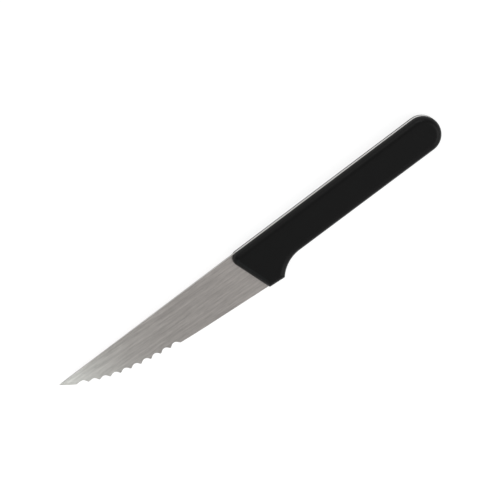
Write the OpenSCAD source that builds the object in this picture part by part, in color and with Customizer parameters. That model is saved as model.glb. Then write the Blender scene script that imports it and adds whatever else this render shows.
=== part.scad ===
// Steak knife with a full tang: a taper-ground, part-serrated steel blade whose tang
// shows as a bright line between two black moulded scales, held by three blind pins.
// Knife frame of the modules: point at x = 0, spine along y = 0, edge towards -y,
// middle of the steel at z = 0. Millimetres.

/* [Blade] */
// Point of the blade to the foot of the scales
blade_len = 113.5; // [95:0.5:140]
// Spine to edge at the foot of the scales
heel_depth = 24.8; // [22:0.1:30]
// Thickness of the steel, which the tang keeps
steel_t = 2; // [1.7:0.1:3]
// Thickness of the spine at the foot of the scales, after taper grinding
spine_t = 1.9; // [1.55:0.05:2.9]
// Thickness of the spine at the point, after taper grinding
point_t = 1.2; // [1:0.1:1.5]
// Thickness that the taper grinding leaves behind the edge at the heel
behind_edge_t = 0.45; // [0.3:0.05:0.6]
// Angle between spine and edge at the point
point_angle = 39; // [34:0.5:44]
// Angle between spine and the straight part of the edge
edge_angle = 4.3; // [2:0.1:5.5]
// Length of the curved front of the edge, along the spine
belly_len = 80; // [68:1:90]
// Fullness of that curve: 1 is a parabola, more swells towards a corner
belly_fullness = 1.35; // [0.9:0.05:1.6]
// Angle of the honed bevel to the middle plane, on each side
hone_angle = 18; // [14:1:24]
// Thickness left on the honed edge
hone_t = 0.08; // [0.04:0.01:0.15]
// Depth left on the very point
point_flat = 0.25; // [0.1:0.05:0.6]

/* [Serration] */
// Scallops ground into the edge
scallop_count = 10; // [4:1:14]
// Tooth point to tooth point, along the edge
tooth_pitch = 5.6; // [4:0.1:7]
// Depth of a scallop below the line of the tooth points
scallop_depth = 1.85; // [1:0.05:2.1]
// Flat left on each tooth point
tooth_land = 0.4; // [0.1:0.05:0.6]
// Plain edge between the point and the first tooth
plain_tip_len = 9.2; // [6:0.1:14]
// Angle of the scallop wheel's axis to the blade's right face
scallop_tilt = 20; // [15:1:30]

/* [Scales] */
// Foot of the scales to the end of the butt
handle_len = 116.5; // [100:0.5:140]
// Depth of the handle at the butt, spine to underside
butt_depth = 19; // [15.5:0.1:20.5]
// Angle between the handle's underside and its spine
grip_angle = 0.25; // [0:0.05:1]
// Thickness of one scale
scale_t = 4; // [3.6:0.1:6]
// Radius that rounds the outer edge of a scale
scale_round = 3.3; // [2:0.1:3.4]
// Lean of the scales' front edge towards the point, at the spine
front_rake = 18.9; // [10:0.1:25]
// Radius of the front corner at the spine, in side view
nose_r = 3.7; // [3.5:0.1:5]
// Radius of the front corner at the edge, in side view
foot_r = 0.9; // [0.4:0.1:2]
// Length of the finger guard's lower side
guard_len = 9.1; // [6:0.1:14]
// Radius of the guard's rear corner, in side view
guard_corner_r = 0.4; // [0.2:0.1:1]
// Radius of the finger rest behind the guard
finger_r = 18; // [12:0.5:30]
// Film of adhesive between a scale and the tang
bond_gap = 0.05; // [0.02:0.01:0.15]

/* [Pins] */
// Diameter of a pin
pin_d = 3; // [2:0.1:5]
// Depth that a pin reaches into each scale
pin_reach = 2.3; // [1.5:0.1:2.6]
// Radial clearance of a pin in its holes
pin_fit = 0.02; // [0.01:0.01:0.08]
// Space for adhesive between a pin's end and the bottom of its socket
socket_room = 0.3; // [0.1:0.05:0.5]
// Chamfer on a pin's ends
pin_chamfer = 0.3; // [0.1:0.05:0.6]
// Foot of the scales to the front pin's centre
front_pin_inset = 22; // [16:0.5:32]
// End of the butt to the rear pin's centre
rear_pin_inset = 16; // [12:0.5:26]

/* [Hidden] */
// How far a cutter runs past what it cuts
overrun = 1;
// Length of the taper grinding that runs under the scales, at their foot
grind_under = 2.5;
// Segments of the belly curve, and of each arc of a scale's side view
belly_steps = 32;
nose_steps = 10;
foot_steps = 4;
guard_steps = 4;
finger_steps = 14;
butt_steps = 36;
// Steps of the rounding over a scale's outer edge
round_steps = 8;
// Smallest corner radius that an inset side view keeps
least_r = 0.05;
// Where the bevels meet the spine near the point, share of the depth kept above the shoulder
all_hone_share = 0.1;
// Facets of a round pin, hole or wheel
round_fn = 64;

knife_len = blade_len + handle_len;
half_t = steel_t / 2;
seat_z = half_t + bond_gap;
face_z = seat_z + scale_t;
grind_end = blade_len + grind_under;
butt_r = butt_depth / 2;

steel_colour = [0.70, 0.69, 0.67];
black_colour = [0.11, 0.11, 0.11];
pin_colour = [0.55, 0.56, 0.58];

// Side view of the edge: a belly from the point, then a straight line to the guard

function edge_line(x) = -heel_depth + (blade_len - x) * tan(edge_angle);

knee_x = (-point_flat - edge_line(0)) / (tan(point_angle) - tan(edge_angle));
knee = [knee_x, edge_line(knee_x)];
belly_start = [0, -point_flat];
belly_end = [belly_len, edge_line(belly_len)];

function belly(t) =
    let (
        start_weight = (1 - t) * (1 - t),
        knee_weight = 2 * t * (1 - t) * belly_fullness,
        end_weight = t * t
    )
    (start_weight * belly_start + knee_weight * knee + end_weight * belly_end)
        / (start_weight + knee_weight + end_weight);

edge_path = concat(
    [for (i = [0 : belly_steps]) belly(i / belly_steps)],
    [[blade_len, edge_line(blade_len)]]
);
edge_steps = len(edge_path) - 1;
edge_lens = [
    for (i = 0, s = 0; i <= edge_steps; s = s + step_len(i), i = i + 1) s
];

function step_len(i) = i < edge_steps ? norm(edge_path[i + 1] - edge_path[i]) : 0;
function edge_point(s) = [
    for (axis = [0, 1]) lookup(s, [for (i = [0 : edge_steps]) [edge_lens[i], edge_path[i][axis]]])
];
function edge_dir(s) = unit(edge_point(s + tooth_pitch / 2) - edge_point(s - tooth_pitch / 2));
function unit(v) = v / norm(v);
function outward(dir) = [dir[1], -dir[0]];

// Side view of a scale, drawn d inside its full outline

function arc(centre, r, a0, a1, steps) = [
    for (i = [0 : steps]) let (a = a0 + (a1 - a0) * i / steps) centre + r * [cos(a), sin(a)]
];
// The same arc without its first point, which the piece before it already has
function arc_on(centre, r, a0, a1, steps) =
    arc(centre, r, a0 + (a1 - a0) / steps, a1, steps - 1);
function inset_r(r, d) = max(r - d, least_r);
// Where two lines meet, each given by its outward normal's angle and its distance
function meet(a0, c0, a1, c1) =
    [c0 * sin(a1) - c1 * sin(a0), c1 * cos(a0) - c0 * cos(a1)] / sin(a1 - a0);

foot = [blade_len, edge_line(blade_len)];
guard_tip = foot + guard_len * [cos(edge_angle), -sin(edge_angle)];
butt_centre = [knife_len - butt_r, -butt_r];

spine_a = 90;
front_a = 180 + front_rake;
guard_a = 270 - edge_angle;
under_a = 270 - grip_angle;

function along(a, p) = p * [cos(a), sin(a)];

front_c = along(front_a, foot);
guard_c = along(guard_a, foot);
under_c = along(under_a, butt_centre) + butt_r;
// The finger rest's centre: its arc touches the underside and passes through the guard's tip
guard_drop = along(under_a, guard_tip) - under_c;
finger_run = sqrt(2 * finger_r * guard_drop - guard_drop * guard_drop);
tip_on_under = guard_tip - guard_drop * [cos(under_a), sin(under_a)];
finger_centre = tip_on_under + finger_run * [cos(grip_angle), -sin(grip_angle)]
    + finger_r * [cos(under_a), sin(under_a)];

function corner_centre(a0, c0, a1, c1, inset) = meet(a0, c0 - inset, a1, c1 - inset);
// Centre of the guard's corner arc: inset from the guard's lower side and from the finger rest
function guard_corner_centre(inset) =
    let (
        gap = along(guard_a, finger_centre) - (guard_c - inset),
        reach = sqrt(pow(finger_r + inset, 2) - gap * gap)
    )
    finger_centre - gap * [cos(guard_a), sin(guard_a)]
        - reach * [cos(edge_angle), -sin(edge_angle)];

function scale_outline(d) =
    let (
        nose = inset_r(nose_r, d),
        heel = inset_r(foot_r, d),
        guard = inset_r(guard_corner_r, d),
        nose_c = corner_centre(spine_a, 0, front_a, front_c, d + nose),
        foot_c = corner_centre(front_a, front_c, guard_a, guard_c, d + heel),
        tip_c = guard_corner_centre(d + guard),
        to_finger = finger_centre - tip_c,
        finger_a = atan2(to_finger[1], to_finger[0])
    )
    concat(
        arc(nose_c, nose, spine_a, front_a, nose_steps),
        arc(foot_c, heel, front_a, guard_a, foot_steps),
        arc(tip_c, guard, guard_a, 360 + finger_a, guard_steps),
        arc_on(finger_centre, finger_r + d, 180 + finger_a, under_a - 180, finger_steps),
        arc(butt_centre, butt_r - d, under_a, 360 + spine_a, butt_steps)
    );

outline_low = min([for (p = scale_outline(0)) p[1]]);

// Side view of the full-thickness tang: the scales' outline behind the end of the grinding
tang_outline = concat(
    [[grind_end, 0], [grind_end, edge_line(grind_end)]],
    [for (p = scale_outline(0)) if (p[0] > grind_end) p]
);

// Half the thickness of the taper-ground blade at a point of its side view
function ground_z(x, y) = point_t / 2 + x * x_slope + y * y_slope;
x_slope = (spine_t - point_t) / 2 / blade_len;
y_slope = (spine_t - behind_edge_t) / 2 / heel_depth;

// Where the grinding's run-out, which climbs at 45 degrees, leaves the ground face
function runout_x(y) = (grind_end - half_t + ground_z(0, y)) / (1 - x_slope);

// Steel that the taper grinding takes off the left face, run-out and all
module grind_wedge() {
    top = half_t + overrun;
    points = [
        for (y = [overrun, -heel_depth - guard_len], p = [
            [-overrun, ground_z(-overrun, y)],
            [runout_x(y), ground_z(runout_x(y), y)],
            [grind_end + overrun, top],
            [-overrun, top]
        ]) [p[0], y, p[1]]
    ];
    polyhedron(points, ring_faces(2, 4));
}

// Faces of a closed loft through `rings` rings of `n` points, each ring counter-clockwise
// as seen from the loft's far end
function ring_faces(rings, n) = loft_faces(rings, n, [[for (i = [0 : n - 1]) i]]);
// The same, with the polygons that close one end given as places in a ring
function loft_faces(rings, n, caps) = concat(
    caps,
    [
        for (r = [0 : rings - 2], i = [0 : n - 1])
            let (a = r * n + i, b = r * n + (i + 1) % n)
            for (face = [[b, a, a + n], [b, a + n, b + n]]) face
    ],
    [for (cap = caps) [for (i = [len(cap) - 1 : -1 : 0]) (rings - 1) * n + cap[i]]]
);

// Left half of the blade's section: edge, shoulder of the honed bevel, spine
function half_section(i) =
    let (
        x = edge_path[i][0],
        edge_y = edge_path[i][1],
        ahead = edge_path[min(i + 1, edge_steps)] - edge_path[max(i - 1, 0)],
        hone_slope = tan(hone_angle) * unit(ahead)[0],
        meet_y = (ground_z(x, 0) - hone_t / 2 + hone_slope * edge_y) / (hone_slope - y_slope),
        shoulder_y = min(meet_y, edge_y * all_hone_share)
    )
    [
        [x, edge_y, hone_t / 2],
        [x, shoulder_y, hone_t / 2 + (shoulder_y - edge_y) * hone_slope],
        [x, 0, min(ground_z(x, 0), hone_t / 2 - edge_y * hone_slope)]
    ];

// The same three points where the run-out starts, and where it ends in the tang
heel_shoulder_y = half_section(edge_steps)[1][1];
runout_edge_x = grind_end - half_t + hone_t / 2;
runout_section = [
    [runout_edge_x, edge_line(runout_edge_x), hone_t / 2],
    for (y = [heel_shoulder_y, 0]) [runout_x(y), y, ground_z(runout_x(y), y)]
];
tang_section = [
    for (y = [edge_line(grind_end), heel_shoulder_y, 0]) [grind_end, y, half_t]
];
// The loft runs on into the tang, so that the two are one solid
root_section = [for (p = tang_section) p + [overrun, 0, 0]];

// Taper-ground and honed blade from the point to the tang
module ground_blade() {
    halves = concat(
        [for (i = [0 : edge_steps]) half_section(i)],
        [runout_section, tang_section, root_section]
    );
    points = [
        for (half = halves, k = [0 : 5])
            let (p = half[k < 3 ? k : 5 - k])
            [p[0], p[1], k < 3 ? -p[2] : p[2]]
    ];
    polyhedron(points, loft_faces(len(halves), 6, [[0, 1, 4, 5], [1, 2, 3, 4]]));
}

// Wheel that grinds one scallop from the right face, at the arc length s along the edge
module scallop_wheel(s) {
    half_chord = (tooth_pitch - tooth_land) / 2;
    bite = scallop_depth * sin(scallop_tilt);
    wheel_r = (half_chord * half_chord + bite * bite) / (2 * bite);
    root = edge_point(s) - scallop_depth * outward(edge_dir(s));
    dir = edge_dir(s);
    reach = (steel_t + scallop_depth) / sin(scallop_tilt);
    translate([root[0], root[1], ground_z(root[0], root[1])])
        rotate([0, 0, atan2(dir[1], dir[0])])
            rotate([90 - scallop_tilt, 0, 0])
                translate([0, -wheel_r, -reach])
                    cylinder(r = wheel_r, h = 2 * reach, $fn = round_fn);
}

pin_places = [
    for (share = [0, 0.5, 1])
        let (
            x0 = blade_len + front_pin_inset,
            x1 = knife_len - rear_pin_inset,
            x = x0 + share * (x1 - x0)
        )
        [x, -(butt_depth - (knife_len - butt_r - x) * tan(grip_angle)) / 2]
];

module blade() {
    color(steel_colour)
        difference() {
            union() {
                ground_blade();
                translate([0, 0, -half_t]) linear_extrude(steel_t) polygon(tang_outline);
            }
            for (i = [0 : scallop_count - 1])
                scallop_wheel(plain_tip_len + (i + 0.5) * tooth_pitch);
            for (place = pin_places)
                translate([place[0], place[1], -half_t - overrun])
                    cylinder(d = pin_d + 2 * pin_fit, h = steel_t + 2 * overrun, $fn = round_fn);
        }
}

// Rounded body of a scale above its seat on the tang
module scale_body() {
    flank = scale_t - scale_round;
    levels = concat(
        [[0, 0]],
        [
            for (i = [0 : round_steps])
                let (a = 90 * i / round_steps)
                [scale_round * (1 - cos(a)), flank + scale_round * sin(a)]
        ]
    );
    points = [for (level = levels, p = scale_outline(level[0])) [p[0], p[1], seat_z + level[1]]];
    polyhedron(points, ring_faces(len(levels), len(scale_outline(0))));
}

module left_scale_shape() {
    difference() {
        union() {
            scale_body();
            // Pad that fills the taper grinding under the scale's front
            translate([0, 0, bond_gap])
                intersection() {
                    grind_wedge();
                    linear_extrude(half_t) polygon(scale_outline(0));
                }
        }
        for (place = pin_places)
            translate([place[0], place[1], 0])
                cylinder(
                    d = pin_d + 2 * pin_fit,
                    h = seat_z + pin_reach + socket_room,
                    $fn = round_fn
                );
    }
}

module left_scale() {
    color(black_colour) left_scale_shape();
}

module right_scale() {
    color(black_colour) mirror([0, 0, 1]) left_scale_shape();
}

module tang_pin(place) {
    half_len = seat_z + pin_reach;
    pin_r = pin_d / 2;
    color(pin_colour)
        translate([place[0], place[1], 0])
            rotate_extrude($fn = round_fn)
                polygon([
                    [0, -half_len],
                    [pin_r - pin_chamfer, -half_len],
                    [pin_r, -half_len + pin_chamfer],
                    [pin_r, half_len - pin_chamfer],
                    [pin_r - pin_chamfer, half_len],
                    [0, half_len]
                ]);
}

// Lays the knife on its right side, with the middle of its box over the origin
module lay_flat() {
    translate([-knife_len / 2, -outline_low / 2, face_z]) children();
}

lay_flat() blade();
lay_flat() left_scale();
lay_flat() right_scale();
lay_flat() tang_pin(pin_places[0]);  // front_pin
lay_flat() tang_pin(pin_places[1]);  // middle_pin
lay_flat() tang_pin(pin_places[2]);  // rear_pin
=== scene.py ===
import math

import bmesh
import bpy
from mathutils import Matrix, Vector


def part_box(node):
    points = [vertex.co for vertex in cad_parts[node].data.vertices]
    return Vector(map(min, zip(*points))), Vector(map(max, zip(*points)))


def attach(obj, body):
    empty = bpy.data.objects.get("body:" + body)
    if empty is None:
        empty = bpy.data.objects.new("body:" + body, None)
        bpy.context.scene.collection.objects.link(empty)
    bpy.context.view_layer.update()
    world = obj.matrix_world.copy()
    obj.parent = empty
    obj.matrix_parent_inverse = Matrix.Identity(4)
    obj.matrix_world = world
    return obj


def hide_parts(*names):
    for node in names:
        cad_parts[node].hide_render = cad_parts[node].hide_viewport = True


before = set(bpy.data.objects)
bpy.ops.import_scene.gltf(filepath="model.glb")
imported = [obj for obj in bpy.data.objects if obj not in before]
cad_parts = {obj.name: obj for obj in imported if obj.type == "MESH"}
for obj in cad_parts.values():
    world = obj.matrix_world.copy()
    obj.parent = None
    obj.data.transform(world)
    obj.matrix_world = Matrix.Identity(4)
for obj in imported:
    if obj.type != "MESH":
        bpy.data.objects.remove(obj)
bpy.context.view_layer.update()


# Camera: a long lens above the knife, leaning towards the spine, so that the rim of the
# tang shows as a line between the scales. The place of the knife's point in the picture
# and the knife's turn there come from the photograph, and everything else from them.
PICTURE_WIDTH = 500
POINT_PIXEL = (59.16, 384.78)
PIXELS_PER_METRE = 2000
TURN_IN_PICTURE = math.radians(37)
LEAN_TO_SPINE = math.radians(16.5)
CAMERA_DISTANCE = 1.5
SENSOR_MM = 36

steel_low, steel_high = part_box("blade")
POINT = Vector((steel_low.x, steel_high.y, (steel_low.z + steel_high.z) / 2))

across_view = Vector((0, math.cos(LEAN_TO_SPINE), -math.sin(LEAN_TO_SPINE)))
to_camera = Vector((0, math.sin(LEAN_TO_SPINE), math.cos(LEAN_TO_SPINE)))
view_right = Vector((math.cos(TURN_IN_PICTURE), 0, 0)) - across_view * math.sin(TURN_IN_PICTURE)
view_up = Vector((math.sin(TURN_IN_PICTURE), 0, 0)) + across_view * math.cos(TURN_IN_PICTURE)
view_centre = (
    POINT
    + view_right * ((PICTURE_WIDTH / 2 - POINT_PIXEL[0]) / PIXELS_PER_METRE)
    + view_up * ((POINT_PIXEL[1] - PICTURE_WIDTH / 2) / PIXELS_PER_METRE)
)

camera = bpy.data.objects.new("camera", bpy.data.cameras.new("camera"))
bpy.context.collection.objects.link(camera)
camera.data.sensor_width = SENSOR_MM
camera.data.lens = SENSOR_MM * CAMERA_DISTANCE * PIXELS_PER_METRE / PICTURE_WIDTH
camera.matrix_world = Matrix.Translation(view_centre + to_camera * CAMERA_DISTANCE) @ (
    Matrix((view_right, view_up, to_camera)).transposed().to_4x4()
)
bpy.context.scene.camera = camera
bpy.context.scene.view_settings.view_transform = "Standard"


# Studio: a white paper floor that sweeps up into a low round wall, open to a grey ceiling.
# The paper looks white to the camera and in the steel, and keeps the knife's soft shadow.
FLOOR_RADIUS = 2.4
FLOOR_RINGS = (0.02, 0.2, 0.45)
SWEEP_RADIUS = 0.6
SWEEP_STEPS = 12
WALL_HEIGHT = 0.7
ROUND_STEPS = 96
PAPER_WHITE = 0.8
SHADOW_SHARE = 0.28
GLOW = 0.82
CEILING_GREY = 0.46


def step(tree, kind, feeds=None, **settings):
    """Adds a node to a tree. Each feed is a plain value, or another node's output to link."""
    node = tree.nodes.new(kind)
    for name, value in settings.items():
        setattr(node, name, value)
    for socket, value in (feeds or {}).items():
        if isinstance(value, bpy.types.NodeSocket):
            tree.links.new(value, node.inputs[socket])
        else:
            node.inputs[socket].default_value = value
    return node


def new_material(name):
    """An empty material: the material itself, its tree and its output node."""
    material = bpy.data.materials.new(name)
    material.use_nodes = True
    material.node_tree.nodes.clear()
    output = material.node_tree.nodes.new("ShaderNodeOutputMaterial")
    return material, material.node_tree, output


def mesh_object(name, points, faces, materials=()):
    """A mesh object at the origin, with its place in its points, facing outwards."""
    mesh = bpy.data.meshes.new(name)
    mesh.from_pydata([tuple(p) for p in points], [], faces)
    work = bmesh.new()
    work.from_mesh(mesh)
    bmesh.ops.recalc_face_normals(work, faces=work.faces)
    work.to_mesh(mesh)
    work.free()
    for material in materials:
        mesh.materials.append(material)
    piece = bpy.data.objects.new(name, mesh)
    bpy.context.collection.objects.link(piece)
    return piece


paper, tree, output = new_material("studio_paper")
light_path = step(tree, "ShaderNodeLightPath")
camera_or_glossy = step(tree, "ShaderNodeMath", {
    0: light_path.outputs["Is Camera Ray"], 1: light_path.outputs["Is Glossy Ray"],
}, operation="ADD")
seen = step(tree, "ShaderNodeMath", {
    0: camera_or_glossy.outputs[0], 1: light_path.outputs["Is Transmission Ray"],
}, operation="ADD", use_clamp=True)
paper_tone = step(tree, "ShaderNodeMix", {
    "Factor": seen.outputs[0], "A": PAPER_WHITE, "B": SHADOW_SHARE,
})
glow = step(tree, "ShaderNodeMath", {0: seen.outputs[0], 1: GLOW}, operation="MULTIPLY")
paper_surface = step(tree, "ShaderNodeAddShader", {
    0: step(tree, "ShaderNodeBsdfDiffuse", {"Color": paper_tone.outputs[0]}).outputs[0],
    1: step(tree, "ShaderNodeEmission", {"Strength": glow.outputs[0]}).outputs[0],
})
tree.links.new(paper_surface.outputs[0], output.inputs["Surface"])

sweep_profile = [(FLOOR_RADIUS * share, 0) for share in FLOOR_RINGS]
for k in range(SWEEP_STEPS + 1):
    angle = math.pi / 2 * k / SWEEP_STEPS
    sweep_profile.append((
        FLOOR_RADIUS - SWEEP_RADIUS + SWEEP_RADIUS * math.sin(angle),
        SWEEP_RADIUS - SWEEP_RADIUS * math.cos(angle),
    ))
sweep_profile.append((FLOOR_RADIUS, WALL_HEIGHT))
sweep_points = [
    (r * math.cos(math.tau * k / ROUND_STEPS), r * math.sin(math.tau * k / ROUND_STEPS), z)
    for r, z in sweep_profile
    for k in range(ROUND_STEPS)
]
sweep_faces = [list(range(ROUND_STEPS))]
for ring in range(len(sweep_profile) - 1):
    for k in range(ROUND_STEPS):
        a = ring * ROUND_STEPS + k
        b = ring * ROUND_STEPS + (k + 1) % ROUND_STEPS
        sweep_faces.append([a, b, b + ROUND_STEPS, a + ROUND_STEPS])
floor = mesh_object("paper_floor", sweep_points, sweep_faces, [paper])
floor.data.shade_smooth()

ceiling = bpy.data.worlds.new("grey_ceiling")
ceiling.use_nodes = True
ceiling.node_tree.nodes["Background"].inputs["Color"].default_value = (
    CEILING_GREY, CEILING_GREY, CEILING_GREY, 1,
)
bpy.context.scene.world = ceiling


def softbox(name, place, aim, size, watts, tint=(1, 1, 1)):
    """A square or oblong area lamp that the camera doesn't see."""
    lamp = bpy.data.lights.new(name, "AREA")
    lamp.shape = "RECTANGLE"
    lamp.size, lamp.size_y = size
    lamp.energy = watts
    lamp.color = tint
    holder = bpy.data.objects.new(name, lamp)
    holder.location = place
    holder.rotation_euler = (Vector(aim) - Vector(place)).to_track_quat("-Z", "Y").to_euler()
    holder.visible_camera = False
    bpy.context.collection.objects.link(holder)


softbox("key_softbox", place=(1.1, -1.1, 1.5), aim=(0, 0, 0), size=(1.6, 1.6), watts=17)
softbox("fill_softbox", place=(0.75, 1.6, 1.2), aim=(0, 0, 0), size=(1.4, 1.2), watts=11)
# The steel mirrors this small one to the camera, brightest at the knife's point.
softbox(
    "point_softbox", place=(-0.278, -0.074, 0.25), aim=(-0.278, -0.074, 0),
    size=(0.3, 0.25), watts=0.41, tint=(0.88, 1, 1),
)


# Blade: one strip of stainless steel, about 230 mm long, blanked to shape. The part in
# front of the scales is ground thin towards edge and point on both faces, brushed
# lengthwise and honed. The tang behind it is as deep as the handle.
MM = 0.001
BLADE_LEN = 113.5
HANDLE_LEN = 116.5
HEEL_DEPTH = 24.8
STEEL_T = 2.0
SPINE_T = 1.9
POINT_T = 1.2
BEHIND_EDGE_T = 0.45
POINT_ANGLE = math.radians(39)
EDGE_ANGLE = math.radians(4.3)
BELLY_LEN = 80.0
BELLY_FULLNESS = 1.35
BELLY_STEPS = 130
STRAIGHT_STEP = 1.5
HONE_ANGLE = math.radians(18)
HONE_T = 0.08
POINT_FLAT = 0.25
ALL_HONE_SHARE = 0.1
GRIND_UNDER = 2.5
EASED_CORNER = 0.1
EASED_CORNER_SHARE = 0.35
EASE_STEPS = 3
SHOULDER_BELOW_EASE = 1.5

KNIFE_LEN = BLADE_LEN + HANDLE_LEN
HALF_T = STEEL_T / 2
GRIND_END = BLADE_LEN + GRIND_UNDER
RISE_ALONG = (SPINE_T - POINT_T) / 2 / BLADE_LEN
RISE_ACROSS = (SPINE_T - BEHIND_EDGE_T) / 2 / HEEL_DEPTH


def place(x, y, z):
    """A point in the maker's millimetres, from the knife's point, as metres in the frame."""
    return POINT + Vector((x, y, z)) * MM


def edge_line(x):
    """Where the straight part of the edge, or its line carried on, lies across the blade."""
    return -HEEL_DEPTH + (BLADE_LEN - x) * math.tan(EDGE_ANGLE)


def ground_z(x, y):
    """Half the thickness of the ground blade."""
    return POINT_T / 2 + x * RISE_ALONG + y * RISE_ACROSS


def runout_x(y):
    """Where the grinding's run-out leaves the ground face. It climbs at 45 degrees."""
    return (GRIND_END - HALF_T + ground_z(0, y)) / (1 - RISE_ALONG)


def belly_point(t):
    """A point of the curved front of the edge."""
    knee_x = (-POINT_FLAT - edge_line(0)) / (math.tan(POINT_ANGLE) - math.tan(EDGE_ANGLE))
    corners = (
        ((1 - t) ** 2, Vector((0, -POINT_FLAT))),
        (2 * t * (1 - t) * BELLY_FULLNESS, Vector((knee_x, edge_line(knee_x)))),
        (t * t, Vector((BELLY_LEN, edge_line(BELLY_LEN)))),
    )
    total = sum(weight for weight, corner in corners)
    return sum((corner * weight for weight, corner in corners), Vector((0, 0))) / total


edge_path = [belly_point(k / BELLY_STEPS) for k in range(BELLY_STEPS + 1)]
straight_steps = round((BLADE_LEN - BELLY_LEN) / STRAIGHT_STEP)
for k in range(1, straight_steps + 1):
    x = BELLY_LEN + (BLADE_LEN - BELLY_LEN) * k / straight_steps
    edge_path.append(Vector((x, edge_line(x))))


def eased_top(x, height, ease):
    """Points round the corner between a face, at its height, and the spine."""
    return [
        (x, -ease + ease * math.sin(a), height - ease + ease * math.cos(a))
        for a in (math.pi / 2 * k / EASE_STEPS for k in range(EASE_STEPS + 1))
    ]


def ground_section(k):
    """Left half of the blade's section, from the edge to the middle of the spine."""
    x, edge_y = edge_path[k]
    ahead = edge_path[min(k + 1, len(edge_path) - 1)] - edge_path[max(k - 1, 0)]
    hone_slope = math.tan(HONE_ANGLE) * ahead.normalized().x
    meet_y = (ground_z(x, 0) - HONE_T / 2 + hone_slope * edge_y) / (hone_slope - RISE_ACROSS)

    def face_z(y):
        return min(ground_z(x, y), HONE_T / 2 + (y - edge_y) * hone_slope)

    ease = min(EASED_CORNER, -edge_y * EASED_CORNER_SHARE, face_z(0) * EASED_CORNER_SHARE)
    shoulder_y = min(meet_y, edge_y * ALL_HONE_SHARE, -ease * SHOULDER_BELOW_EASE)
    edge_to_shoulder = [(x, edge_y, HONE_T / 2), (x, shoulder_y, face_z(shoulder_y))]
    return edge_to_shoulder + eased_top(x, face_z(-ease), ease)


def runout_section(heel_section):
    """Left half of the section along the line where the run-out leaves the ground face."""
    edge_x = GRIND_END - HALF_T + HONE_T / 2
    shoulder_y = heel_section[1][1]
    shoulder_x = runout_x(shoulder_y)
    half = [
        (edge_x, edge_line(edge_x), HONE_T / 2),
        (shoulder_x, shoulder_y, ground_z(shoulder_x, shoulder_y)),
    ]
    for _, y, z in eased_top(0, 0, EASED_CORNER):
        x = runout_x(y)
        half.append((x, y, z + ground_z(x, -EASED_CORNER)))
    return half


def tang_section(x, low_y, top_y):
    """Left half of the tang's section, with its corners just broken."""
    corner = min(EASED_CORNER, (top_y - low_y) * EASED_CORNER_SHARE)
    top = [(x, y + top_y, z) for x, y, z in eased_top(x, HALF_T, corner)]
    return [(x, low_y, HALF_T - corner), (x, low_y + corner, HALF_T)] + top


# The outline of the handle is drawn here, because the tang's rim is ground flush with it.
BUTT_DEPTH = 19.0
GRIP_ANGLE = math.radians(0.25)
FRONT_RAKE = math.radians(18.9)
NOSE_R = 3.7
FOOT_R = 0.9
GUARD_LEN = 9.1
GUARD_CORNER_R = 0.4
FINGER_R = 18.0
LEAST_R = 0.05
NOSE_STEPS = 20
CORNER_STEPS = 10
FINGER_STEPS = 40
UNDERSIDE_STEPS = 15
BUTT_STEPS = 96
SPINE_STEPS = 18

BUTT_R = BUTT_DEPTH / 2
foot = Vector((BLADE_LEN, edge_line(BLADE_LEN)))
guard_tip = foot + Vector((math.cos(EDGE_ANGLE), -math.sin(EDGE_ANGLE))) * GUARD_LEN
butt_centre = Vector((KNIFE_LEN - BUTT_R, -BUTT_R))
spine_side = math.pi / 2
front_side = math.pi + FRONT_RAKE
guard_side = 1.5 * math.pi - EDGE_ANGLE
under_side = 1.5 * math.pi - GRIP_ANGLE


def heading(angle):
    """A step of 1 in the direction of an angle."""
    return Vector((math.cos(angle), math.sin(angle)))


def meeting(a0, c0, a1, c1):
    """Where two lines meet, each given by its outward angle and its distance."""
    return Vector((
        c0 * math.sin(a1) - c1 * math.sin(a0), c1 * math.cos(a0) - c0 * math.cos(a1),
    )) / math.sin(a1 - a0)


front_c = heading(front_side).dot(foot)
guard_c = heading(guard_side).dot(foot)
under_c = heading(under_side).dot(butt_centre) + BUTT_R
guard_drop = heading(under_side).dot(guard_tip) - under_c
finger_run = math.sqrt(2 * FINGER_R * guard_drop - guard_drop ** 2)
finger_centre = (
    guard_tip
    - heading(under_side) * guard_drop
    + Vector((math.cos(GRIP_ANGLE), -math.sin(GRIP_ANGLE))) * finger_run
    + heading(under_side) * FINGER_R
)


def arc(centre, radius, a0, a1, steps, skip=0):
    """Points round a centre from one angle to another, without the first few if skipped."""
    return [
        centre + heading(a0 + (a1 - a0) * k / steps) * radius for k in range(skip, steps + 1)
    ]


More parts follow.
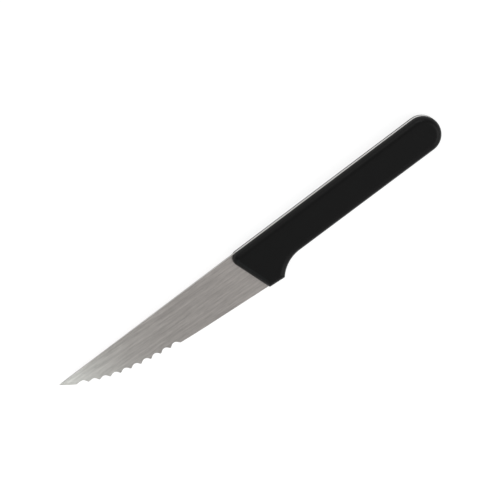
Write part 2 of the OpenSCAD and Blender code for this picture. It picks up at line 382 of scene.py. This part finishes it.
def scale_outline(inset):
    """Side view of a scale, drawn inside its full outline by the inset."""
    nose, heel, guard = (max(r - inset, LEAST_R) for r in (NOSE_R, FOOT_R, GUARD_CORNER_R))
    nose_centre = meeting(spine_side, -inset - nose, front_side, front_c - inset - nose)
    foot_centre = meeting(
        front_side, front_c - inset - heel, guard_side, guard_c - inset - heel
    )
    depth = heading(guard_side).dot(finger_centre) - (guard_c - inset - guard)
    reach = math.sqrt((FINGER_R + inset + guard) ** 2 - depth ** 2)
    guard_centre = (
        finger_centre
        - heading(guard_side) * depth
        - Vector((math.cos(EDGE_ANGLE), -math.sin(EDGE_ANGLE))) * reach
    )
    to_finger = finger_centre - guard_centre
    finger_side = math.atan2(to_finger.y, to_finger.x)
    finger_start = math.pi + finger_side
    finger_end = under_side - math.pi
    under_start = finger_centre - heading(under_side) * (FINGER_R + inset)
    under_end = butt_centre + heading(under_side) * (BUTT_R - inset)
    nose_top = nose_centre + Vector((0, nose))
    butt_top = butt_centre + Vector((0, BUTT_R - inset))
    return (
        arc(nose_centre, nose, spine_side, front_side, NOSE_STEPS)
        + arc(foot_centre, heel, front_side, guard_side, CORNER_STEPS)
        + arc(guard_centre, guard, guard_side, math.tau + finger_side, CORNER_STEPS)
        + arc(finger_centre, FINGER_R + inset, finger_start, finger_end, FINGER_STEPS, skip=1)
        + [under_start.lerp(under_end, k / UNDERSIDE_STEPS) for k in range(1, UNDERSIDE_STEPS)]
        + arc(butt_centre, BUTT_R - inset, under_side, math.tau + spine_side, BUTT_STEPS)
        + [butt_top.lerp(nose_top, k / SPINE_STEPS) for k in range(1, SPINE_STEPS)]
    )


def tang_top(x):
    """Where the tang's upper rim lies: flush with the spine, then round the butt."""
    past = max(x - butt_centre.x, 0)
    return -BUTT_R + math.sqrt(max(BUTT_R ** 2 - past ** 2, 0))


# Material group for everything that is brushed or drawn in one direction: long fine lines.
grain = bpy.data.node_groups.new("lengthwise_grain", "ShaderNodeTree")
grain.interface.new_socket("Place", in_out="INPUT", socket_type="NodeSocketVector")
for socket_name in ("Lines per metre along", "Lines per metre across", "Fineness"):
    grain.interface.new_socket(socket_name, in_out="INPUT", socket_type="NodeSocketFloat")
for socket_name in ("Bands", "Lines", "Scratches"):
    grain.interface.new_socket(socket_name, in_out="OUTPUT", socket_type="NodeSocketFloat")
given = step(grain, "NodeGroupInput")
stretch = step(grain, "ShaderNodeCombineXYZ", {
    "X": given.outputs["Lines per metre along"],
    "Y": given.outputs["Lines per metre across"],
    "Z": given.outputs["Lines per metre across"],
})
stretched = step(grain, "ShaderNodeVectorMath", {
    0: given.outputs["Place"], 1: stretch.outputs[0],
}, operation="MULTIPLY")
finer = step(grain, "ShaderNodeVectorMath", {
    0: stretched.outputs[0], "Scale": given.outputs["Fineness"],
}, operation="SCALE")
bands = step(grain, "ShaderNodeTexNoise", {
    "Vector": stretched.outputs[0], "Scale": 0.22, "Detail": 2, "Roughness": 0.55,
})
lines = step(grain, "ShaderNodeTexNoise", {
    "Vector": stretched.outputs[0], "Scale": 1, "Detail": 4, "Roughness": 0.65,
})
hairs = step(grain, "ShaderNodeTexNoise", {
    "Vector": finer.outputs[0], "Scale": 1, "Detail": 1, "Roughness": 0.5,
})
scratches = step(grain, "ShaderNodeMapRange", {
    "Value": hairs.outputs["Fac"], "From Min": 0.62, "From Max": 0.78,
})
step(grain, "NodeGroupOutput", {
    "Bands": bands.outputs["Fac"],
    "Lines": lines.outputs["Fac"],
    "Scratches": scratches.outputs[0],
})


def grained_steel(name, dark, light, roughness, along, across, fineness, anisotropic, turn=0):
    """Steel with fine lines along the knife, or at an angle to it, the turn. Along and across
    say how many lines begin in a metre, and fineness how much finer its scratches are."""
    material, tree, output = new_material(name)
    coordinates = step(tree, "ShaderNodeTexCoord")
    turned = step(tree, "ShaderNodeMapping", {
        "Vector": coordinates.outputs["Object"], "Rotation": (0, 0, turn),
    })
    grained = step(tree, "ShaderNodeGroup", node_tree=grain)
    for socket_name, value in (
        ("Lines per metre along", along),
        ("Lines per metre across", across),
        ("Fineness", fineness),
    ):
        grained.inputs[socket_name].default_value = value
    tree.links.new(turned.outputs[0], grained.inputs["Place"])
    weave = step(tree, "ShaderNodeMix", {
        "Factor": 0.42, "A": grained.outputs["Bands"], "B": grained.outputs["Lines"],
    })
    contrast = step(tree, "ShaderNodeMapRange", {
        "Value": weave.outputs[0], "From Min": 0.35, "From Max": 0.65,
    })
    tone = step(tree, "ShaderNodeMix", {
        "Factor": contrast.outputs[0], "A": (*dark, 1), "B": (*light, 1),
    }, data_type="RGBA")
    brightened = step(tree, "ShaderNodeMix", {
        "Factor": grained.outputs["Scratches"], "A": tone.outputs["Result"], "B": (*light, 1),
    }, data_type="RGBA")
    rough = step(tree, "ShaderNodeMapRange", {
        "Value": grained.outputs["Lines"], "From Min": 0.3, "From Max": 0.7,
        "To Min": roughness[0], "To Max": roughness[1],
    })
    lift = step(tree, "ShaderNodeBump", {
        "Height": grained.outputs["Lines"], "Strength": 0.25, "Distance": 4e-6,
    })
    surface = step(tree, "ShaderNodeBsdfPrincipled", {
        "Base Color": brightened.outputs["Result"],
        "Metallic": 1.0,
        "Roughness": rough.outputs[0],
        "Normal": lift.outputs[0],
        "Anisotropic": anisotropic,
    })
    if anisotropic:
        brushed_way = step(
            tree, "ShaderNodeTangent", direction_type="UV_MAP", uv_map="brushing"
        )
        tree.links.new(brushed_way.outputs[0], surface.inputs["Tangent"])
    tree.links.new(surface.outputs[0], output.inputs["Surface"])
    return material


# The belt ran along the middle of the blade, which turns a little from the spine.
BRUSHING_TURN = math.radians(2.5)
brushed_steel = grained_steel(
    "brushed_steel", dark=(0.437, 0.409, 0.388), light=(0.645, 0.605, 0.576),
    roughness=(0.28, 0.42), along=280, across=4200, fineness=3, anisotropic=0.75,
    turn=BRUSHING_TURN,
)
rim_steel = grained_steel(
    "linished_rim", dark=(0.54, 0.53, 0.52), light=(0.66, 0.65, 0.64),
    roughness=(0.22, 0.32), along=68, across=3400, fineness=4, anisotropic=0.5,
)
spine_steel = grained_steel(
    "blanked_spine", dark=(0.35, 0.34, 0.33), light=(0.45, 0.44, 0.43),
    roughness=(0.30, 0.40), along=68, across=3400, fineness=4, anisotropic=0.5,
)
scallop_steel = grained_steel(
    "wheel_ground_steel", dark=(0.50, 0.51, 0.52), light=(0.64, 0.65, 0.66),
    roughness=(0.18, 0.28), along=200, across=6000, fineness=3, anisotropic=0.0,
    turn=math.pi / 2,
)
BLADE_STEELS = [brushed_steel, rim_steel, scallop_steel, spine_steel]
BRUSHED = BLADE_STEELS.index(brushed_steel)
RIM = BLADE_STEELS.index(rim_steel)
SPINE = BLADE_STEELS.index(spine_steel)


def loft(name, rings, materials=()):
    """A closed solid through rings of as many points each, capped at both ends."""
    count = len(rings[0])
    faces = [list(range(count)), [len(rings) * count - 1 - k for k in range(count)]]
    for ring in range(len(rings) - 1):
        for k in range(count):
            a = ring * count + k
            b = ring * count + (k + 1) % count
            faces.append([a, b, b + count, a + count])
    points = [place(*point) for ring in rings for point in ring]
    return mesh_object(name, points, faces, materials)


# Both halves of the blank are lofted through its sections, from the point to the butt. The
# tang's sections stand where the handle's outline has points.
LEAST_TANG_STEP = 0.05
BUTT_END_GAP = 0.005
halves = [ground_section(k) for k in range(len(edge_path))]
halves.append(runout_section(halves[-1]))
halves.append(tang_section(GRIND_END, edge_line(GRIND_END), 0))
last_x = GRIND_END
for p in scale_outline(0)[NOSE_STEPS + 1:]:
    if p.y < -BUTT_R and last_x + LEAST_TANG_STEP < p.x < KNIFE_LEN - BUTT_END_GAP:
        halves.append(tang_section(p.x, p.y, tang_top(p.x)))
        last_x = p.x
blade = loft(
    "blade_steel",
    [half + [(x, y, -z) for x, y, z in reversed(half)] for half in halves],
    BLADE_STEELS,
)


# Serration: a tilted grinding wheel, fed in from the right face at equal steps along the
# edge, leaves ten scallops with a pointed tooth between each two.
SCALLOP_COUNT = 10
TOOTH_PITCH = 5.6
SCALLOP_DEPTH = 1.85
TOOTH_LAND = 0.4
PLAIN_TIP_LEN = 9.2
SCALLOP_TILT = math.radians(20)
WHEEL_FACETS = 256
half_chord = (TOOTH_PITCH - TOOTH_LAND) / 2
bite = SCALLOP_DEPTH * math.sin(SCALLOP_TILT)
WHEEL_R = (half_chord ** 2 + bite ** 2) / (2 * bite)
WHEEL_REACH = (STEEL_T + SCALLOP_DEPTH) / math.sin(SCALLOP_TILT)


def new_tree(name, sockets):
    """A Geometry Nodes tree with one geometry in and one out, and its other named inputs."""
    tree = bpy.data.node_groups.new(name, "GeometryNodeTree")
    tree.interface.new_socket("Geometry", in_out="OUTPUT", socket_type="NodeSocketGeometry")
    tree.interface.new_socket("Geometry", in_out="INPUT", socket_type="NodeSocketGeometry")
    for socket_name, kind in sockets:
        tree.interface.new_socket(socket_name, in_out="INPUT", socket_type="NodeSocket" + kind)
    return tree, step(tree, "NodeGroupInput")


def end_tree(tree, geometry, material):
    """Ends a tree in real geometry. Its faces already have their materials from the cut, so
    the last node, which names the one inside it, sets no face."""
    real = step(tree, "GeometryNodeRealizeInstances", {"Geometry": geometry})
    finished = step(tree, "GeometryNodeSetMaterial", {
        "Geometry": real.outputs[0], "Selection": False, "Material": material,
    })
    step(tree, "NodeGroupOutput", {"Geometry": finished.outputs[0]})


def keep_result(piece):
    """Makes the evaluated mesh the piece's own, and removes its modifiers."""
    graph = bpy.context.evaluated_depsgraph_get()
    mesh = bpy.data.meshes.new_from_object(piece.evaluated_get(graph), depsgraph=graph)
    piece.modifiers.clear()
    piece.data = mesh


def apply_tree(piece, tree, values):
    """Runs a tree on a piece, keeps the result as its plain mesh and drops the modifier."""
    modifier = piece.modifiers.new(tree.name, "NODES")
    modifier.node_group = tree
    for item in tree.interface.items_tree:
        if item.in_out == "INPUT" and item.name in values:
            modifier[item.identifier] = values[item.name]
    keep_result(piece)


def sum_of(tree, a, b, operation="ADD"):
    """The output of a sum, or of another operation, on two numbers."""
    return step(tree, "ShaderNodeMath", {0: a, 1: b}, operation=operation).outputs[0]


def vector_sum(tree, a, b, operation="ADD"):
    """The output of a sum, or of another operation, on two vectors."""
    return step(tree, "ShaderNodeVectorMath", {0: a, 1: b}, operation=operation).outputs[0]


grinding, given = new_tree("scallop_grinding", (
    ("Edge", "Object"), ("Scallops", "Int"), ("Pitch", "Float"), ("Plain tip", "Float"),
    ("Depth", "Float"), ("Wheel radius", "Float"), ("Wheel reach", "Float"),
    ("Wheel facets", "Int"), ("Tilt", "Float"), ("Face point", "Vector"),
    ("Face slope", "Vector"), ("Steel", "Material"),
))
edge_curve = step(grinding, "GeometryNodeObjectInfo", {"Object": given.outputs["Edge"]})


def on_edge(length):
    """The place at a length along the edge, from the point."""
    sample = step(grinding, "GeometryNodeSampleCurve", {
        "Curves": edge_curve.outputs["Geometry"], "Length": length,
    }, mode="LENGTH", use_all_curves=True)
    return sample.outputs["Position"]


# Each wheel is set between two teeth: its bite is deepest half way, square to their chord.
wheel_number = step(grinding, "GeometryNodeInputIndex").outputs[0]
middle = sum_of(grinding, wheel_number, 0.5)
middle = sum_of(grinding, middle, given.outputs["Pitch"], "MULTIPLY")
middle = sum_of(grinding, middle, given.outputs["Plain tip"])
half_pitch = sum_of(grinding, given.outputs["Pitch"], 0.5, "MULTIPLY")
tooth_before = on_edge(sum_of(grinding, middle, half_pitch, "SUBTRACT"))
tooth_after = on_edge(sum_of(grinding, middle, half_pitch))
chord = vector_sum(grinding, tooth_after, tooth_before, "SUBTRACT")
chord = step(grinding, "ShaderNodeVectorMath", {0: chord}, operation="NORMALIZE").outputs[0]
inwards = vector_sum(grinding, (0, 0, 1), chord, "CROSS_PRODUCT")
depth_in = step(grinding, "ShaderNodeVectorMath", {
    0: inwards, "Scale": given.outputs["Depth"],
}, operation="SCALE").outputs[0]
root = vector_sum(grinding, on_edge(middle), depth_in)

# The deepest place is lifted on to the left face, where the wheel breaks out at full depth.
from_face_point = vector_sum(grinding, root, given.outputs["Face point"], "SUBTRACT")
rise = step(grinding, "ShaderNodeVectorMath", {
    0: from_face_point, 1: given.outputs["Face slope"],
}, operation="DOT_PRODUCT").outputs["Value"]
face_point = step(grinding, "ShaderNodeSeparateXYZ", {0: given.outputs["Face point"]})
root_parts = step(grinding, "ShaderNodeSeparateXYZ", {0: root})
root_on_face = step(grinding, "ShaderNodeCombineXYZ", {
    "X": root_parts.outputs["X"],
    "Y": root_parts.outputs["Y"],
    "Z": sum_of(grinding, rise, face_point.outputs["Z"]),
})
chord_parts = step(grinding, "ShaderNodeSeparateXYZ", {0: chord})
bearing = sum_of(grinding, chord_parts.outputs["Y"], chord_parts.outputs["X"], "ARCTAN2")
lean = sum_of(grinding, math.pi / 2, given.outputs["Tilt"], "SUBTRACT")
turned = step(grinding, "FunctionNodeEulerToRotation", {
    0: step(grinding, "ShaderNodeCombineXYZ", {"X": lean, "Z": bearing}).outputs[0],
})
wheel = step(grinding, "GeometryNodeMeshCylinder", {
    "Vertices": given.outputs["Wheel facets"],
    "Radius": given.outputs["Wheel radius"],
    "Depth": sum_of(grinding, given.outputs["Wheel reach"], 2, "MULTIPLY"),
})
hung = step(grinding, "GeometryNodeTransform", {
    "Geometry": wheel.outputs["Mesh"],
    "Translation": step(grinding, "ShaderNodeCombineXYZ", {
        "Y": sum_of(grinding, given.outputs["Wheel radius"], -1, "MULTIPLY"),
    }).outputs[0],
})
wheel_steel = step(grinding, "GeometryNodeSetMaterial", {
    "Geometry": hung.outputs[0], "Material": given.outputs["Steel"],
})
wheel_places = step(grinding, "GeometryNodePoints", {
    "Count": given.outputs["Scallops"], "Position": root_on_face.outputs[0],
})
wheels = step(grinding, "GeometryNodeInstanceOnPoints", {
    "Points": wheel_places.outputs[0],
    "Instance": wheel_steel.outputs[0],
    "Rotation": turned.outputs[0],
})
ground = step(grinding, "GeometryNodeMeshBoolean", {
    "Mesh 1": given.outputs["Geometry"], "Mesh 2": wheels.outputs[0],
}, operation="DIFFERENCE", solver="MANIFOLD")
end_tree(grinding, ground.outputs["Mesh"], given.outputs["Steel"])

edge_data = bpy.data.curves.new("edge_path", "CURVE")
edge_data.dimensions = "3D"
spline = edge_data.splines.new("POLY")
spline.points.add(len(edge_path) - 1)
for spline_point, (x, y) in zip(spline.points, edge_path):
    spline_point.co = (*place(x, y, 0), 1)
edge_object = bpy.data.objects.new("edge_path", edge_data)
bpy.context.collection.objects.link(edge_object)

apply_tree(blade, grinding, {
    "Edge": edge_object,
    "Scallops": SCALLOP_COUNT,
    "Pitch": TOOTH_PITCH * MM,
    "Plain tip": PLAIN_TIP_LEN * MM,
    "Depth": SCALLOP_DEPTH * MM,
    "Wheel radius": WHEEL_R * MM,
    "Wheel reach": WHEEL_REACH * MM,
    "Wheel facets": WHEEL_FACETS,
    "Tilt": SCALLOP_TILT,
    "Face point": place(0, 0, ground_z(0, 0)),
    "Face slope": (RISE_ALONG, RISE_ACROSS, 0),
    "Steel": scallop_steel,
})
bpy.data.objects.remove(edge_object)


# Pin holes: three along the middle of the handle, drilled right through the tang, and as
# blind sockets in each scale, with a little room beyond the end of the pin.
PIN_D = 3.0
PIN_FIT = 0.02
PIN_REACH = 2.3
SOCKET_ROOM = 0.3
BOND_GAP = 0.05
FRONT_PIN_INSET = 22.0
REAR_PIN_INSET = 16.0
PIN_COUNT = 3
DRILL_FACETS = 64
SEAT_Z = HALF_T + BOND_GAP

drilling, given = new_tree("pin_drilling", (
    ("Front pin", "Vector"), ("Rear pin", "Vector"), ("Pins", "Int"), ("Diameter", "Float"),
    ("Depth", "Float"), ("Inside", "Material"),
))
pin_line = step(drilling, "GeometryNodeMeshLine", {
    "Count": given.outputs["Pins"],
    "Start Location": given.outputs["Front pin"],
    "Offset": given.outputs["Rear pin"],
}, mode="END_POINTS")
drill = step(drilling, "GeometryNodeMeshCylinder", {
    "Vertices": DRILL_FACETS,
    "Radius": sum_of(drilling, given.outputs["Diameter"], 0.5, "MULTIPLY"),
    "Depth": sum_of(drilling, given.outputs["Depth"], 2, "MULTIPLY"),
})
drill_side = step(drilling, "GeometryNodeSetMaterial", {
    "Geometry": drill.outputs["Mesh"], "Material": given.outputs["Inside"],
})
drills = step(drilling, "GeometryNodeInstanceOnPoints", {
    "Points": pin_line.outputs[0], "Instance": drill_side.outputs[0],
})
drilled = step(drilling, "GeometryNodeMeshBoolean", {
    "Mesh 1": given.outputs["Geometry"], "Mesh 2": drills.outputs[0],
}, operation="DIFFERENCE", solver="MANIFOLD")
end_tree(drilling, drilled.outputs["Mesh"], given.outputs["Inside"])


def pin_place(x):
    """A pin's centre, half way down the handle, whose underside slopes by the grip's angle."""
    slack = (KNIFE_LEN - BUTT_R - x) * math.tan(GRIP_ANGLE)
    return place(x, -(BUTT_DEPTH - slack) / 2, 0)


def drill_pins(piece, depth, inside):
    """Drills all pin holes from the middle of the steel, both ways, to one depth."""
    apply_tree(piece, drilling, {
        "Front pin": pin_place(BLADE_LEN + FRONT_PIN_INSET),
        "Rear pin": pin_place(KNIFE_LEN - REAR_PIN_INSET),
        "Pins": PIN_COUNT,
        "Diameter": (PIN_D + 2 * PIN_FIT) * MM,
        "Depth": depth * MM,
        "Inside": inside,
    })


drill_pins(blade, STEEL_T, rim_steel)

# Faces that look sideways were never brushed: bright on the tang, dull along the spine.
MOST_UPWARD = 0.5
BLADE_SHARP_ANGLE = math.radians(12)
nose_start = scale_outline(0)[0]
rim_start = place(nose_start.x, nose_start.y, 0).x
for face in blade.data.polygons:
    if face.material_index == BRUSHED and abs(face.normal.z) < MOST_UPWARD:
        face.material_index = RIM if face.center.x > rim_start else SPINE
# Brushing along the knife spreads a highlight across it, so the map's first coordinate runs
# across: over the width of the faces, and through the thickness on the spine.
brushing = blade.data.uv_layers.new(name="brushing")
for loop in blade.data.loops:
    x, y, z = blade.data.vertices[loop.vertex_index].co
    brushing.data[loop.index].uv = (y + z, x)
blade.data.shade_smooth()
blade.data.set_sharp_from_angle(angle=BLADE_SHARP_ANGLE)
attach(blade, "root")
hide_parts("blade")


# Scales: two slabs of matt black moulded plastic, glued and pinned to the tang. Each is
# flat outside, with one wide rounding all round, and a pad at the front fills the grind.
SCALE_T = 4.0
SCALE_ROUND = 3.3
FLAT_TOP_STEP = 0.2
ROUND_LEVELS = 18
SEAT_OVERRUN = 2.0
SCALE_SHARP_ANGLE = math.radians(30)
FLANK_TOP = SEAT_Z + SCALE_T - SCALE_ROUND


def plastic(name, dark, light, specular, roughness):
    """Black plastic, slightly cloudy, with a very fine grain."""
    material, tree, output = new_material(name)
    coordinates = step(tree, "ShaderNodeTexCoord")
    fine_grain = step(tree, "ShaderNodeTexNoise", {
        "Vector": coordinates.outputs["Object"], "Scale": 5200, "Detail": 3, "Roughness": 0.6,
    })
    cloud = step(tree, "ShaderNodeTexNoise", {
        "Vector": coordinates.outputs["Object"], "Scale": 55, "Detail": 2, "Roughness": 0.5,
    })
    tone = step(tree, "ShaderNodeMix", {
        "Factor": cloud.outputs["Fac"], "A": (dark, dark, dark, 1), "B": (light, light, light, 1),
    }, data_type="RGBA")
    rough = step(tree, "ShaderNodeMapRange", {
        "Value": fine_grain.outputs["Fac"], "From Min": 0.3, "From Max": 0.7,
        "To Min": roughness[0], "To Max": roughness[1],
    })
    lift = step(tree, "ShaderNodeBump", {
        "Height": fine_grain.outputs["Fac"], "Strength": 0.3, "Distance": 8e-6,
    })
    surface = step(tree, "ShaderNodeBsdfPrincipled", {
        "Base Color": tone.outputs["Result"],
        "Roughness": rough.outputs[0],
        "Specular IOR Level": specular,
        "Normal": lift.outputs[0],
    })
    tree.links.new(surface.outputs[0], output.inputs["Surface"])
    return material


moulded_black = plastic(
    "matt_black_plastic", dark=0.0028, light=0.0040, specular=0.14, roughness=(0.34, 0.42),
)
# Once the scales are on, their flanks are ground flush with the tang, which dulls them.
flank_black = plastic(
    "linished_black_plastic", dark=0.0066, light=0.0078, specular=0.02, roughness=(0.45, 0.55),
)
PLASTICS = [moulded_black, flank_black]
FLANK = PLASTICS.index(flank_black)
FLANK_MOST_UPWARD = 0.2


def seat_profile(y):
    """The steel's left face along the knife, with the film of glue, closed well below it."""
    past_butt = KNIFE_LEN + SEAT_OVERRUN
    face = (
        (0, ground_z(0, y)),
        (runout_x(y), ground_z(runout_x(y), y)),
        (GRIND_END, HALF_T),
        (past_butt, HALF_T),
    )
    below = [(past_butt, y, -SEAT_OVERRUN), (0, y, -SEAT_OVERRUN)]
    return [(x, y, z + BOND_GAP) for x, z in face] + below


def facing(points, side):
    """The points of the left side as they are, or mirrored for the right one."""
    return [(x, y, side * z) for x, y, z in points]


def make_scale(name, side, node):
    """One scale; side is 1 for the left and -1 for the right."""
    levels = [(0, 0), (0, FLANK_TOP)]
    for k in range(1, ROUND_LEVELS + 1):
        a = math.pi / 2 * k / ROUND_LEVELS
        levels.append((
            SCALE_ROUND * (1 - math.cos(a)), FLANK_TOP + SCALE_ROUND * math.sin(a),
        ))
    levels.append((SCALE_ROUND + FLAT_TOP_STEP, FLANK_TOP + SCALE_ROUND))
    scale = loft(name, [
        facing([(x, y, z) for x, y in scale_outline(inset)], side) for inset, z in levels
    ], PLASTICS)
    seat = loft("seat_cutter", [
        facing(seat_profile(y), side) for y in (SEAT_OVERRUN, -HEEL_DEPTH - GUARD_LEN)
    ])
    cut = scale.modifiers.new("seat", "BOOLEAN")
    cut.object = seat
    cut.operation = "DIFFERENCE"
    cut.solver = "MANIFOLD"
    keep_result(scale)
    bpy.data.objects.remove(seat)
    drill_pins(scale, SEAT_Z + PIN_REACH + SOCKET_ROOM, moulded_black)
    for face in scale.data.polygons:
        if abs(face.normal.z) < FLANK_MOST_UPWARD:
            face.material_index = FLANK
    scale.data.shade_smooth()
    scale.data.set_sharp_from_angle(angle=SCALE_SHARP_ANGLE)
    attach(scale, "root")
    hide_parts(node)


make_scale("left_scale_moulding", 1, "left_scale")
make_scale("right_scale_moulding", -1, "right_scale")


# Pins: three short lengths of drawn steel rod, pressed through the tang into the blind
# sockets of both scales, so that no head shows outside.
drawn_steel = grained_steel(
    "drawn_pin_steel", dark=(0.40, 0.41, 0.43), light=(0.54, 0.55, 0.57),
    roughness=(0.30, 0.42), along=3000, across=3000, fineness=3, anisotropic=0.0,
)
for node in ("front_pin", "middle_pin", "rear_pin"):
    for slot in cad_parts[node].material_slots:
        slot.material = drawn_steel
